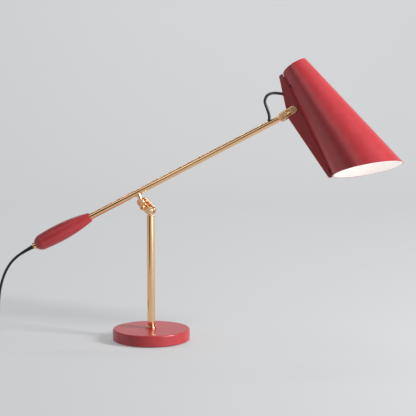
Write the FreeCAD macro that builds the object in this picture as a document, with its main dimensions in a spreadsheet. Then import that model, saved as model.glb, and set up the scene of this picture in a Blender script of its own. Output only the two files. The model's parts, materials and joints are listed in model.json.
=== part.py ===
import FreeCAD, Part
import math
import os
import re
import Sketcher

# Architect desk lamp.  Millimetres, +Z up.  The origin is the middle of the base's
# underside.  +X runs towards the shade, -Y is the side that the clamp screws face.

SIZES = {
    # base and stem
    "base_radius": 80.0, "base_height": 25.0, "base_edge": 3.0, "pad_inset": 6.0, "pad_depth": 1.5,
    "recess_radius": 24.0, "recess_depth": 10.0, "stem_radius": 8.0, "stem_wall": 1.5,
    "stem_top": 258.0, "stem_foot": 6.5, "fit_gap": 0.05, "ferrule_wall": 2.5, "ferrule_height": 5.0,
    "nut_radius": 13.0, "nut_height": 5.0, "washer_radius": 18.0, "washer_height": 2.0,
    "pad_gap": 2.0, "ferrule_edge": 1.5, "stem_plug_edge": 2.0,
    "plug_height": 4.0, "spigot_depth": 16.0,
    # ball studs and clamps
    "ball_radius": 7.0, "ball_gap": 0.1, "neck_radius": 3.0, "stud_radius": 4.0,
    "neck_step": 1.0, "stem_neck": 2.2, "end_neck": 1.6,
    "ball_spacing": 27.0, "stem_play": 1.3, "seat_depth": 2.5, "plate_thick": 3.5,
    "plate_rim": 1.2, "dimple_radius": 1.3,
    "screw_edge": 1.0, "screw_radius": 2.5, "screw_head_radius": 5.6, "screw_head_height": 7.5,
    "socket_radius": 2.3, "socket_depth": 4.0, "clamp_nut_radius": 4.5, "clamp_nut_height": 5.0,
    "lower_yaw": 147.6, "lower_pitch": -37.9, "lower_roll": -101.7,
    # arm, in its own frame: Z along the arm towards the shade, X down towards the stub
    "arm_tilt": 27.5, "arm_radius": 6.5, "arm_wall": 1.2, "arm_front": 326.0, "arm_inset": 10.0,
    "stub_length": 22.0, "stub_radius": 5.5, "stub_play": 2.4, "end_play": 0.6,
    "end_plug_nose": 1.7, "end_plug_edge": 1.2, "exit_back": 16.0, "exit_gap": 0.8,
    # counterweight
    "weight_front": 110.0, "weight_rear": 238.0, "weight_waist": 185.0, "weight_radius": 18.0,
    "weight_mouth": 9.3, "weight_nose": 8.4, "weight_shoulder": 219.0, "weight_shoulder_radius": 16.6,
    "weight_nose_curve": 22.0, "weight_back_curve": 300.0, "weight_front_curve": 327.0,
    "collar_edge": 1.0, "collar_radius": 7.0, "collar_height": 6.0, "collar_spigot": 9.0,
    # shade, in its own frame: Z along the cone towards its closed top, X towards the fin
    "shade_yaw": 178.3, "shade_pitch": 34.6, "shade_roll": 16.6,
    "shade_top_radius": 27.7, "shade_mouth_radius": 65.6, "shade_length": 265.0, "shade_wall": 1.2,
    "shade_corner": 4.0, "mouth_angle": 23.1, "lip_height": 7.0, "lip_wall": 1.0, "lip_top": 6.0,
    "lip_foot": 4.0, "lip_play": 0.2, "seam_step": 2.0,
    "fin_play": 0.5, "fin_wall": 1.2, "fin_standoff": 3.0, "fin_top_width": 9.46, "fin_top": 1.0,
    "fin_knee_width": 30.5, "fin_knee_drop": 84.5, "fin_foot_width": 9.2, "fin_foot_rise": 27.0,
    "knee_start": 8.5, "knee_start_back": 3.4, "knee_end": 6.0, "knee_curve": 22.0, "fin_foot_corner": 5.0,
    "fin_foot_back": 4.0,
    "pivot_width": 13.6, "pivot_drop": 77.5, "head_angle": 2.3,
    "pivot_radius": 3.0, "pivot_bore": 1.1, "spacer_radius": 5.0, "notch_radius": 10.6,
    "notch_low": 28.0, "notch_high": 46.0, "notch_reach": 40.0, "rivet_radius": 1.6, "rivet_head": 2.6,
    "rivet_head_height": 0.8, "rivet_inset": 2.4, "rivet_drop": 10.0, "rivet_rise": 8.5, "rivet_pitch": 5.5,
    "entry_drop": 37.0, "grommet_wall": 1.2, "grommet_lip": 0.2, "grommet_step": 0.7, "grommet_gap": 0.1,
    "grommet_inside": 1.0, "grommet_face": 1.2,
    # lampholder, bulb and switch
    "hub_radius": 15.0, "hub_height": 9.0, "holder_radius": 14.5, "holder_length": 42.0,
    "ring_wall": 3.5, "ring_height": 5.0, "bulb_cap_radius": 8.0, "bulb_cap_length": 16.0,
    "cap_gap": 0.2, "cap_seat": 1.0, "bulb_neck": 3.0,
    "bulb_radius": 22.5, "bulb_drop": 98.0, "glass_wall": 1.0,
    "button_drop": 36.0, "button_angle": 25.9, "button_width": 3.0, "button_length": 7.0,
    "button_proud": 1.6, "button_inside": 5.0, "button_gap": 0.1, "switch_depth": 8.0, "switch_gap": 1.0,
    "switch_width": 10.0, "switch_length": 16.0, "holder_lead_radius": 1.5, "holder_lead_drop": 43.5,
    "holder_lead_gap": 0.3,
    # leads and plug
    "lead_radius": 2.75, "head_lead_radius": 2.5, "coil_mid_radius": 31.0, "coil_play": 0.2, "coil_edge": 2.0,
    "coil_lift": 0.8, "coil_x": -376.0, "coil_y": 85.0, "tie_wall": 0.8, "tie_width": 8.0,
    "tie_play": 1.0, "tie_lift": 0.4,
    "plug_x": -388.0, "plug_back": -24.0, "plug_width": 26.0, "plug_length": 36.0, "plug_thick": 14.0,
    "plug_edge": 2.0,
    "pin_radius": 2.0, "pin_length": 19.0, "pin_spacing": 19.0, "relief_length": 22.0,
    "relief_radius": 4.6, "relief_wall": 0.8, "relief_root": 2.0,
}

# Sizes that follow from others.
CONE = "((shade_mouth_radius - shade_top_radius) / shade_length)"
DERIVED = {
    "pad_radius": "(base_radius - pad_inset)",
    "ferrule_radius": "(stem_radius + ferrule_wall)",
    "ball_height": "(stem_top + plug_height + ball_radius + plate_rim + stem_play)",
    "plate_gap": "((ball_radius - seat_depth) * 2)",
    "plate_radius": "(ball_radius + plate_rim)",
    "arm_rear": "(weight_rear - arm_inset)",
    "arm_reach": "(arm_front + end_plug_nose + ball_radius + plate_rim + end_play)",
    "stub_boss": "(stub_length - ball_radius - plate_rim - stub_play)",
    "lead_exit": "(arm_front - exit_back)",
    "exit_radius": "(head_lead_radius + exit_gap)",
    "fin_thick": "((ball_radius - seat_depth - fin_play) * 2)",
    "fin_foot_drop": "(shade_length - fin_foot_rise)",
    "fin_top_reach": "(shade_top_radius + fin_top * %s + fin_top_width)" % CONE,
    "fin_knee_reach": "(shade_top_radius + fin_knee_drop * %s + fin_knee_width)" % CONE,
    "fin_foot_reach": "(shade_top_radius + (shade_length - fin_foot_rise) * %s + fin_foot_width)" % CONE,
    "pivot_reach": "(shade_top_radius + pivot_drop * %s + pivot_width)" % CONE,
    "grommet_radius": "(head_lead_radius + grommet_wall)",
    "grommet_flange": "(head_lead_radius + grommet_wall + grommet_lip)",
    "ring_radius": "(holder_radius + ring_wall)",
    "coil_width": "(lead_radius * 8 + coil_play * 2)",
    "coil_height": "(lead_radius * 4 + coil_play)",
}

# Route of the mains lead, from the collar's face down to the coil's side.
MAINS_ROUTE = [
    (-244.9, 11.4, 194.8), (-263.2, 11.4, 185.2), (-287.0, 11.2, 168.0), (-303.0, 11.8, 144.5),
    (-311.5, 12.6, 117.0), (-315.2, 13.8, 88.0), (-317.6, 15.2, 58.0), (-320.5, 17.0, 27.4),
    (-323.6, 25.2, 11.6), (-327.8, 40.4, 2.9), (-333.0, 58.0, 2.9), (-336.4, 80.0, 3.4),
]
# Route of the tail, from the coil's other side to the plug's strain relief.
TAIL_ROUTE = [
    (-415.4, 86.0, 3.6), (-415.6, 64.0, 3.0), (-408.5, 45.0, 3.2), (-398.5, 27.0, 4.6), (-389.5, 12.5, 6.6),
    (-388.0, -2.0, 7.0),
]
# Route of the head lead, from the arm's top to the grommet in the fin's edge.
HEAD_ROUTE = [
    (243.8, 11.4, 456.5), (244.0, 11.4, 467.0), (238.6, 11.5, 482.0), (233.4, 12.2, 495.5),
    (239.0, 14.0, 507.3), (250.6, 18.0, 511.2), (261.2, 22.6, 508.6), (270.3, 22.9, 509.4),
]

V = FreeCAD.Vector
doc = FreeCAD.newDocument("DeskLamp")
sheet = doc.addObject("Spreadsheet::Sheet", "Sizes")
for row, (alias, size) in enumerate(SIZES.items(), start=1):
    sheet.set("A%d" % row, alias.replace("_", " "))
    sheet.set("B%d" % row, str(size))
    sheet.setAlias("B%d" % row, alias)
doc.recompute()


NAME = re.compile(r"[a-z]+_[a-z_]+")


def spelled(words):
    """An expression with its derived sizes written out in the sheet's aliases."""
    return NAME.sub(lambda found: DERIVED.get(found.group(0), found.group(0)), str(words))


def value(words):
    """An expression, worked out."""
    return float(sheet.evalExpression(spelled(words)))


def linked(words):
    """The same expression, for use outside the sheet."""
    return NAME.sub(lambda found: "Sizes." + found.group(0), spelled(words))


def bind(item, **sizes):
    """Bind properties to expressions in the sheet's aliases."""
    for name, words in sizes.items():
        item.setExpression(name, linked(words))


# ---------------------------------------------------------------- frames

def frame(origin, rotation):
    return FreeCAD.Placement(origin, rotation)


WORLD = frame(V(0, 0, 0), FreeCAD.Rotation())
stem_ball = V(0, 0, value("ball_height"))
lower_rotation = FreeCAD.Rotation(value("lower_yaw"), value("lower_pitch"), value("lower_roll"))
lower_axis = lower_rotation.multVec(V(1, 0, 0))
LOWER_CLAMP = frame(stem_ball + lower_axis * (value("ball_spacing") / 2), lower_rotation)
arm_ball = stem_ball + lower_axis * value("ball_spacing")

arm_rotation = FreeCAD.Rotation(V(0, 1, 0), 90 - value("arm_tilt"))
arm_down = arm_rotation.multVec(V(1, 0, 0))
arm_along = arm_rotation.multVec(V(0, 0, 1))
ARM = frame(arm_ball - arm_down * value("stub_length"), arm_rotation)
end_ball = ARM.Base + arm_along * value("arm_reach")

shade_rotation = FreeCAD.Rotation(value("shade_yaw"), value("shade_pitch"), value("shade_roll"))
head_turn = FreeCAD.Rotation(V(0, 1, 0), -value("head_angle"))
head_axis = shade_rotation.multVec(head_turn.multVec(V(-1, 0, 0)))
shade_side = shade_rotation.multVec(V(0, 1, 0))
head_rotation = FreeCAD.Rotation(head_axis, shade_side.cross(head_axis), shade_side, "XZY")
HEAD_CLAMP = frame(end_ball + head_axis * (value("ball_spacing") / 2), head_rotation)
pivot = end_ball + head_axis * value("ball_spacing")
pivot_in_shade = V(value("pivot_reach"), 0, -value("pivot_drop"))
SHADE = frame(pivot - shade_rotation.multVec(pivot_in_shade), shade_rotation)

nodes = {}


def keep(label, item, place):
    """Name a finished sub-part and put it where it belongs."""
    item.Label = label
    item.Placement = place
    nodes[label] = item
    return item


# ---------------------------------------------------------------- PartDesign helpers

def new_body(name):
    return doc.addObject("PartDesign::Body", name + "_body")


def origin_plane(body, role):
    return [item for item in body.Origin.OriginFeatures if item.Role == role][0]


def through(start, end, radius):
    """Middle point of the arc from start to end; a positive radius bulges to the right."""
    chord = end - start
    half = chord.Length / 2
    size = max(abs(radius), half)
    rise = size - math.sqrt(size * size - half * half)
    side = V(chord.y, -chord.x, 0) / chord.Length
    return (start + end) / 2 + side * math.copysign(rise, radius)


def outline(body, name, role, points):
    """A closed sketch.  Each point is (x, y) or (x, y, radius of the arc to the next point)."""
    sketch = body.newObject("Sketcher::SketchObject", name)
    sketch.AttachmentSupport = [(origin_plane(body, role), "")]
    sketch.MapMode = "FlatFace"
    corners = [V(value(point[0]), value(point[1]), 0) for point in points]
    count = len(points)
    for n, point in enumerate(points):
        start, end = corners[n], corners[(n + 1) % count]
        if len(point) == 3:
            sketch.addGeometry(Part.Arc(start, through(start, end, value(point[2])), end))
        else:
            sketch.addGeometry(Part.LineSegment(start, end))
    for n, point in enumerate(points):
        first, second = end_number(sketch, n, corners[n]), n
        before = (n - 1) % count
        sketch.addConstraint(Sketcher.Constraint(
            "Coincident", before, end_number(sketch, before, corners[n]), second, first))
        places = (("DistanceX", point[0], corners[n].x), ("DistanceY", point[1], corners[n].y))
        for kind, words, size in places:
            number = sketch.addConstraint(Sketcher.Constraint(kind, -1, 1, n, first, size))
            sketch.setExpression("Constraints[%d]" % number, linked(words))
        if len(point) == 3:
            number = sketch.addConstraint(Sketcher.Constraint("Radius", n, sketch.Geometry[n].Radius))
    return sketch


def end_number(sketch, geometry, corner):
    """1 if this geometry starts at the corner, 2 if it ends there."""
    near = sketch.getPoint(geometry, 1).distanceToPoint(corner)
    far = sketch.getPoint(geometry, 2).distanceToPoint(corner)
    return 1 if near < far else 2


def add(body, kind, name, sketch, **settings):
    feature = body.newObject("PartDesign::" + kind, name)
    feature.Profile = sketch
    for key, setting in settings.items():
        setattr(feature, key, setting)
    return feature


def revolved(label, points):
    """A turned blank: its half section in X and Z, revolved about Z."""
    body = new_body(label)
    sketch = outline(body, label + "_section", "XZ_Plane", points)
    add(body, "Revolution", label + "_turn", sketch, ReferenceAxis=(sketch, ["V_Axis"]), Angle=360.0)
    return body


def turned(label, points, place):
    return keep(label, revolved(label, points), place)


def ring(label, inner, outer, low, high, place):
    return turned(label, [(inner, low), (outer, low), (outer, high), (inner, high)], place)


def disc(label, outer, low, high, place):
    return ring(label, "0", outer, low, high, place)


def cut_volume(body, feature):
    """Stop if a Pocket pointed away from the solid."""
    before = feature.BaseFeature.Shape.Volume
    if not feature.Shape.Volume < before - 0.01:
        raise ValueError(feature.Name + " cut nothing")


# ---------------------------------------------------------------- Part helpers

def cylinder(radius, height, place):
    item = doc.addObject("Part::Cylinder", "cylinder")
    bind(item, Radius=radius, Height=height)
    item.Placement = place
    return item


def sphere(radius, place):
    item = doc.addObject("Part::Sphere", "sphere")
    bind(item, Radius=radius)
    item.Placement = place
    return item


def box(length, width, height, place):
    item = doc.addObject("Part::Box", "box")
    bind(item, Length=length, Width=width, Height=height)
    item.Placement = place
    return item


def joined(*items):
    fuse = doc.addObject("Part::MultiFuse", "fuse")
    fuse.Shapes = list(items)
    return fuse


def cut(base, tool):
    item = doc.addObject("Part::Cut", "cut")
    item.Base = base
    item.Tool = tool
    return item


def at(x=0, y=0, z=0, rotation=None):
    return frame(V(value(x), value(y), value(z)), rotation or FreeCAD.Rotation())


def solid(label, shape, place):
    item = doc.addObject("Part::Feature", label)
    item.Shape = shape
    return keep(label, item, place)


# ---------------------------------------------------------------- base and stem

def make_base():
    turned("base_disc", [
        ("stem_radius + fit_gap", "pad_depth + recess_depth"), ("recess_radius", "pad_depth + recess_depth"),
        ("recess_radius", "pad_depth"), ("base_radius - base_edge / 2", "pad_depth"),
        ("base_radius", "pad_depth + base_edge / 2"), ("base_radius", "base_height - base_edge", "base_edge"),
        ("base_radius - base_edge", "base_height"), ("stem_radius + fit_gap", "base_height"),
    ], WORLD)
    ring("base_pad", "recess_radius + pad_gap", "pad_radius", "0", "pad_depth", WORLD)
    top = "pad_depth + recess_depth - washer_height"
    ring("base_washer", "stem_radius + fit_gap", "washer_radius", top, top + " + washer_height", WORLD)
    nut = doc.addObject("Part::Prism", "nut")
    nut.Polygon = 6
    bind(nut, Circumradius="nut_radius", Height="nut_height")
    nut.Placement = at(z=top + " - nut_height")
    bore = cylinder("stem_radius + fit_gap", "nut_height * 2", at(z=top + " - nut_height * 1.5"))
    keep("base_nut", cut(nut, bore), WORLD)


def make_stem():
    ring("stem_tube", "stem_radius - stem_wall", "stem_radius", "stem_foot - 1.5", "stem_top", WORLD)
    turned("stem_ferrule", [
        ("stem_radius + fit_gap", "base_height"), ("ferrule_radius", "base_height"),
        ("ferrule_radius", "base_height + ferrule_height - ferrule_edge", "ferrule_edge"),
        ("ferrule_radius - ferrule_edge", "base_height + ferrule_height"),
        ("stem_radius + fit_gap", "base_height + ferrule_height"),
    ], WORLD)
    turned("stem_plug", [
        ("stud_radius + fit_gap", "stem_top - spigot_depth"),
        ("stem_radius - stem_wall - fit_gap", "stem_top - spigot_depth"),
        ("stem_radius - stem_wall - fit_gap", "stem_top"), ("stem_radius", "stem_top"),
        ("stem_radius", "stem_top + plug_height - stem_plug_edge", "stem_plug_edge"),
        ("stem_radius - stem_plug_edge", "stem_top + plug_height"),
        ("stud_radius + fit_gap", "stem_top + plug_height"),
    ], WORLD)


def ball_stud(label, foot, shoulder, place):
    """A turned ball on its neck, centred on the origin, with its stud running down -Z."""
    neck_end = "-sqrt(ball_radius ^ 2 - neck_radius ^ 2)"
    return turned(label, [
        ("0", foot), ("stud_radius", foot), ("stud_radius", shoulder),
        ("neck_radius", shoulder + " + neck_step"), ("neck_radius", neck_end, "ball_radius"),
        ("ball_radius", "0", "ball_radius"), ("0", "ball_radius"),
    ], place)


# ---------------------------------------------------------------- clamps

def clamp_plate(label, side, hollow_tools, place):
    """An oblong plate along X, on the +Z (side 1) or -Z (side -1) of the balls."""
    low = "plate_gap / 2" if side > 0 else "-plate_gap / 2 - plate_thick"
    blank = joined(
        cylinder("plate_radius", "plate_thick", at("-ball_spacing / 2", 0, low)),
        cylinder("plate_radius", "plate_thick", at("ball_spacing / 2", 0, low)),
        box("ball_spacing", "plate_radius * 2", "plate_thick", at("-ball_spacing / 2", "-plate_radius", low)))
    deep, below = "plate_thick * 3", low + " - plate_thick"
    holes = [cylinder("screw_radius + fit_gap", deep, at(0, 0, below))]
    for tool, x in hollow_tools:
        if tool == "ball":
            holes.append(sphere("ball_radius + ball_gap", at(x)))
            holes.append(cylinder("dimple_radius", deep, at(x, 0, below)))
        else:
            holes.append(cylinder("pivot_radius + fit_gap", deep, at(x, 0, below)))
    keep(label, cut(blank, joined(*holes)), place)


def clamp_screw(label, place):
    """A cap screw through both plates: its head on the +Z side, a hexagon socket in its end."""
    face = "plate_gap / 2 + plate_thick"
    end = "-(" + face + ") - clamp_nut_height + screw_edge"
    blank = revolved(label + "_blank", [
        ("0", end), ("screw_radius", end),
        ("screw_radius", face), ("screw_head_radius", face),
        ("screw_head_radius", face + " + screw_head_height - screw_edge", "screw_edge"),
        ("screw_head_radius - screw_edge", face + " + screw_head_height"),
        ("0", face + " + screw_head_height"),
    ])
    socket = doc.addObject("Part::Prism", "socket")
    socket.Polygon = 6
    bind(socket, Circumradius="socket_radius", Height="socket_depth + 1")
    socket.Placement = at(z=face + " + screw_head_height - socket_depth")
    keep(label, cut(blank, socket), place)


def make_clamp(prefix, far_hole, place):
    hollows = [("ball", "-ball_spacing / 2"), (far_hole, "ball_spacing / 2")]
    clamp_plate(prefix + "_front", 1, hollows, place)
    clamp_plate(prefix + "_rear", -1, hollows, place)
    clamp_screw(prefix + "_screw", place)
    low = "-plate_gap / 2 - plate_thick"
    turned(prefix + "_nut", [
        ("screw_radius + fit_gap", low + " - clamp_nut_height"),
        ("clamp_nut_radius - screw_edge", low + " - clamp_nut_height"),
        ("clamp_nut_radius", low + " - clamp_nut_height + screw_edge"), ("clamp_nut_radius", low),
        ("screw_radius + fit_gap", low),
    ], place)


# ---------------------------------------------------------------- arm and counterweight

def make_arm():
    tube = revolved("arm_blank", [
        ("arm_radius - arm_wall", "-arm_rear"), ("arm_radius", "-arm_rear"),
        ("arm_radius", "arm_front"), ("arm_radius - arm_wall", "arm_front"),
    ])
    up = FreeCAD.Rotation(V(0, 1, 0), -90)
    hole = cylinder("exit_radius", "arm_radius + 2", at(0, 0, "lead_exit", up))
    keep("arm_tube", cut(tube, hole), ARM)
    nose = "arm_front + end_plug_nose"
    turned("arm_end_plug", [
        ("stud_radius + fit_gap", "arm_front - spigot_depth / 2"),
        ("arm_radius - arm_wall - fit_gap", "arm_front - spigot_depth / 2"),
        ("arm_radius - arm_wall - fit_gap", "arm_front"), ("arm_radius", "arm_front"),
        ("arm_radius - end_plug_edge", nose), ("stud_radius + fit_gap", nose),
    ], ARM)
    stub_place = ARM * frame(V(value("stub_length"), 0, 0), FreeCAD.Rotation(V(0, 1, 0), 90))
    boss = "stub_boss - stub_length"
    neck_end = "-sqrt(ball_radius ^ 2 - neck_radius ^ 2)"
    blank = revolved("stub_blank", [
        ("0", "-stub_length"), ("stub_radius", "-stub_length"), ("stub_radius", boss),
        ("neck_radius", boss + " + neck_step"), ("neck_radius", neck_end, "ball_radius"),
        ("ball_radius", "0", "ball_radius"), ("0", "ball_radius"),
    ])
    along_x = FreeCAD.Rotation(V(0, 1, 0), 90)
    saddle = cylinder("arm_radius", "arm_radius * 4", at("-arm_radius * 2", 0, "-stub_length", along_x))
    keep("arm_stub", cut(blank, saddle), stub_place)
    turned("counterweight", [
        ("arm_radius + fit_gap", "-weight_rear"), ("weight_nose", "-weight_rear", "weight_nose_curve"),
        ("weight_shoulder_radius", "-weight_shoulder", "weight_back_curve"),
        ("weight_radius", "-weight_waist", "weight_front_curve"), ("weight_mouth", "-weight_front"),
        ("arm_radius + fit_gap", "-weight_front"),
    ], ARM)
    turned("cord_collar", [
        ("lead_radius + fit_gap", "-weight_rear - collar_height"),
        ("collar_radius - collar_edge", "-weight_rear - collar_height"),
        ("collar_radius", "-weight_rear - collar_height + collar_edge"), ("collar_radius", "-weight_rear"),
        ("arm_radius", "-weight_rear"), ("arm_radius", "-weight_rear + collar_spigot"),
        ("lead_radius + fit_gap", "-weight_rear + collar_spigot"),
    ], ARM)


# ---------------------------------------------------------------- shade

def cone_radius(drop, extra="0"):
    """The cone's outer radius at a drop below its closed top."""
    return "shade_top_radius + (%s) * %s + (%s)" % (drop, CONE, extra)


def make_cone():
    body = new_body("shade_cone")
    low = "shade_length * 1.2"
    section = outline(body, "cone_section", "XZ_Plane", [
        ("0", "0"), ("0", "-shade_wall"),
        ("shade_top_radius - shade_corner", "-shade_wall", "-(shade_corner - shade_wall)"),
        (cone_radius("shade_corner", "-shade_wall"), "-shade_corner"),
        (cone_radius(low, "-shade_wall"), "-" + low), (cone_radius(low), "-" + low),
        (cone_radius("shade_corner"), "-shade_corner", "shade_corner"),
        ("shade_top_radius - shade_corner", "0"),
    ])
    add(body, "Revolution", "cone_turn", section, ReferenceAxis=(section, ["V_Axis"]), Angle=360.0)
    foot = "fin_foot_drop - lip_foot"
    lips = outline(body, "lip_section", "XZ_Plane", [
        (cone_radius("lip_top", "-shade_wall / 2"), "-lip_top"),
        (cone_radius("lip_top", "lip_height"), "-lip_top"),
        (cone_radius(foot, "lip_height"), "-(%s)" % foot),
        (cone_radius(foot, "-shade_wall / 2"), "-(%s)" % foot),
    ])
    pad = add(body, "Pad", "lips", lips)
    pad.Midplane = True
    pad.setExpression("Length", linked("fin_thick - fin_wall * 2 - lip_play"))
    top, outside = "lip_top + seam_step", "lip_height * 2"
    slit = outline(body, "slit_section", "XZ_Plane", [
        (cone_radius(top, "-lip_height"), "-(%s)" % top), (cone_radius(top, outside), "-(%s)" % top),
        (cone_radius(low, outside), "-" + low), (cone_radius(low, "-lip_height"), "-" + low),
    ])
    doc.recompute()
    groove = add(body, "Pocket", "seam", slit)
    groove.Midplane = True
    groove.setExpression("Length", linked("fin_thick - fin_wall * 2 - lip_play - lip_wall * 2"))
    span = "shade_mouth_radius * 2"
    mouth = outline(body, "mouth_section", "XZ_Plane", [
        ("-" + span, "-(shade_length + %s * tan(mouth_angle))" % span),
        (span, "-(shade_length - %s * tan(mouth_angle))" % span),
        (span, "-shade_length * 1.5"), ("-" + span, "-shade_length * 1.5"),
    ])
    doc.recompute()
    opening = add(body, "Pocket", "mouth", mouth)
    opening.Midplane = True
    opening.setExpression("Length", linked("shade_mouth_radius * 4"))
    doc.recompute()
    cut_volume(body, groove)
    cut_volume(body, opening)
    past_wall = "button_inside + button_proud"
    slot = button_block(
        "button_width + button_gap * 2", "button_length + button_gap * 2", past_wall, past_wall)
    slot.Placement = button_place() * slot.Placement
    bores = [slot] + [rivet_tool(drop, "rivet_radius + fit_gap", "fin_thick * 2") for drop in rivet_drops()]
    keep("shade_cone", cut(body, joined(*bores)), SHADE)


def button_place():
    return at(rotation=FreeCAD.Rotation(V(0, 0, 1), value("button_angle")))


def button_block(width, length, inside, outside):
    """A block through the cone's wall on the X axis at the button's drop."""
    across = cone_radius("button_drop", "-(%s)" % inside)
    return box("%s + %s" % (inside, outside), width, length, frame(
        V(value(across), -value(width) / 2, -value("button_drop") - value(length) / 2), FreeCAD.Rotation()))


def rivet_drops():
    return ["rivet_drop", "fin_foot_drop - rivet_rise - rivet_pitch", "fin_foot_drop - rivet_rise"]


def rivet_tool(drop, radius, length):
    """A cylinder across the fin's foot, through both lips."""
    along_y = FreeCAD.Rotation(V(1, 0, 0), 90)
    return cylinder(radius, length, frame(
        V(value(cone_radius(drop, "lip_height - rivet_inset")), value(length) / 2, -value(drop)), along_y))


def fin_points(inset):
    """The fin's side outline; inset is the wall left around its inside."""
    slope = "((fin_knee_reach - fin_top_reach) / (fin_knee_drop - fin_top))"
    slant = "(%s) * sqrt(1 + %s ^ 2)" % (inset, slope)
    front = "fin_standoff - %s * 20" % ("0" if inset == "0" else "1")
    top = "fin_top + %s" % inset
    foot = "fin_foot_drop - %s" % inset
    return [
        (cone_radius(top, front), "-(%s)" % top),
        ("fin_top_reach + (%s) * %s - %s" % (inset, slope, slant), "-(%s)" % top),
        ("fin_knee_reach - knee_start_back - %s" % slant, "-(fin_knee_drop - knee_start)", "-knee_curve"),
        ("fin_knee_reach - (%s)" % inset, "-(fin_knee_drop + knee_end)"),
        ("fin_foot_reach - (%s)" % inset, "-(fin_foot_drop - fin_foot_corner)", "-fin_foot_corner"),
        ("fin_foot_reach - fin_foot_back - (%s)" % inset, "-(%s)" % foot),
        (cone_radius(foot, front), "-(%s)" % foot),
    ]


def make_fin():
    body = new_body("back_fin")
    pad = add(body, "Pad", "fin_blank", outline(body, "fin_section", "XZ_Plane", fin_points("0")))
    pad.Midplane = True
    pad.setExpression("Length", linked("fin_thick"))
    inside = outline(body, "fin_inside", "XZ_Plane", fin_points("fin_wall"))
    doc.recompute()
    hollow = add(body, "Pocket", "fin_hollow", inside)
    hollow.Midplane = True
    hollow.setExpression("Length", linked("fin_thick - fin_wall * 2"))
    doc.recompute()
    cut_volume(body, hollow)
    along_y = FreeCAD.Rotation(V(1, 0, 0), 90)
    pivot_hole = cylinder("pivot_radius + fit_gap", "fin_thick * 2", frame(
        V(value("pivot_reach"), value("fin_thick"), -value("pivot_drop")), along_y))
    holes = [rivet_tool(drop, "rivet_radius + fit_gap", "fin_thick * 2") for drop in rivet_drops()]
    depth = "fin_wall * 10"
    entry = cylinder("grommet_radius - grommet_step + grommet_gap", depth, entry_place(-value(depth) / 2))
    part = cut(body, joined(pivot_hole, knee_notch(), entry, *holes))
    keep("back_fin", part, SHADE)


def knee_notch():
    """The sector that the clamp's screw swings through, as a wedge less the lobe round the pivot."""
    reach = value("notch_reach")
    low, high = math.radians(value("notch_low")), math.radians(value("notch_high"))
    tips = [V(0, 0, 0)]
    for angle in (-low, 0.15, high):
        tips.append(V(reach * math.cos(angle), 0, reach * math.sin(angle)))
    depth = value("fin_thick") * 2
    wedge = Part.Face(Part.makePolygon(tips + tips[:1])).extrude(V(0, depth, 0))
    lobe = Part.makeCylinder(value("notch_radius"), depth, V(0, 0, 0), V(0, 1, 0))
    item = doc.addObject("Part::Feature", "knee_notch")
    item.Shape = wedge.cut(lobe)
    item.Placement = at("pivot_reach", "-fin_thick", "-pivot_drop")
    return item


def entry_place(back):
    """On the fin's upper edge where the head lead goes in, Z pointing out of the edge."""
    run = V(value("fin_knee_reach - fin_top_reach"), 0, -value("fin_knee_drop - fin_top"))
    share = (value("entry_drop") - value("fin_top")) / value("fin_knee_drop - fin_top")
    spot = V(value("fin_top_reach"), 0, -value("fin_top")) + run * share
    out = V(-run.z, 0, run.x).normalize()
    return frame(spot + out * back, FreeCAD.Rotation(V(0, 0, 1), out))


def make_shade_fittings():
    rivets, head = [], value("rivet_head_height")
    for drop in rivet_drops():
        along_y = FreeCAD.Rotation(V(1, 0, 0), 90)
        x, z = value(cone_radius(drop, "lip_height - rivet_inset")), -value(drop)
        half = value("fin_thick") / 2
        rivets.append(rivet_tool(drop, "rivet_radius", "fin_thick"))
        rivets.append(cylinder("rivet_head", "rivet_head_height", frame(V(x, -half, z), along_y)))
        rivets.append(cylinder("rivet_head", "rivet_head_height", frame(V(x, half + head, z), along_y)))
    keep("fin_rivets", joined(*rivets), SHADE)
    across = FreeCAD.Rotation(V(1, 0, 0), -90)
    spacer_half = value("fin_thick / 2 - fin_wall")
    ring("pivot_spacer", "pivot_radius + fit_gap", "spacer_radius", "0", "fin_thick - fin_wall * 2",
         SHADE * frame(pivot_in_shade + V(0, -spacer_half, 0), across))
    turned("fin_grommet", [
        ("head_lead_radius + fit_gap", "-fin_wall - grommet_inside"),
        ("grommet_radius - grommet_step", "-fin_wall - grommet_inside"),
        ("grommet_radius - grommet_step", "0"), ("grommet_flange", "0"), ("grommet_flange", "grommet_face"),
        ("head_lead_radius + fit_gap", "grommet_face"),
    ], SHADE * entry_place(0.02))


def make_lampholder():
    hub_low = "shade_wall + hub_height"
    disc("holder_hub", "hub_radius", "-(%s)" % hub_low, "-shade_wall", SHADE)
    holder_low = hub_low + " + holder_length"
    ring("lampholder", "bulb_cap_radius + cap_gap", "holder_radius",
         "-(%s)" % holder_low, "-(%s)" % hub_low, SHADE)
    ring("holder_ring", "holder_radius + fit_gap", "ring_radius",
         "-(%s)" % holder_low, "-(%s - ring_height)" % holder_low, SHADE)
    neck = "(%s) + cap_seat" % holder_low
    disc("bulb_cap", "bulb_cap_radius", "-(%s)" % neck, "-(%s - bulb_cap_length)" % neck, SHADE)
    neck_radius = "bulb_cap_radius + bulb_neck"
    shoulder = "bulb_drop - sqrt(bulb_radius ^ 2 - (%s) ^ 2)" % neck_radius
    inside = "bulb_radius - glass_wall"
    inner_shoulder = "bulb_drop - sqrt((%s) ^ 2 - (%s - glass_wall) ^ 2)" % (inside, neck_radius)
    turned("bulb_glass", [
        ("bulb_cap_radius - glass_wall", "-(%s)" % neck), ("bulb_cap_radius", "-(%s)" % neck),
        (neck_radius, "-(%s)" % shoulder, "-bulb_radius"), ("bulb_radius", "-bulb_drop", "-bulb_radius"),
        ("0", "-bulb_drop - bulb_radius"), ("0", "-bulb_drop - bulb_radius + glass_wall", inside),
        (inside, "-bulb_drop", inside),
        ("%s - glass_wall" % neck_radius, "-(%s)" % inner_shoulder),
    ], SHADE)


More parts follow.
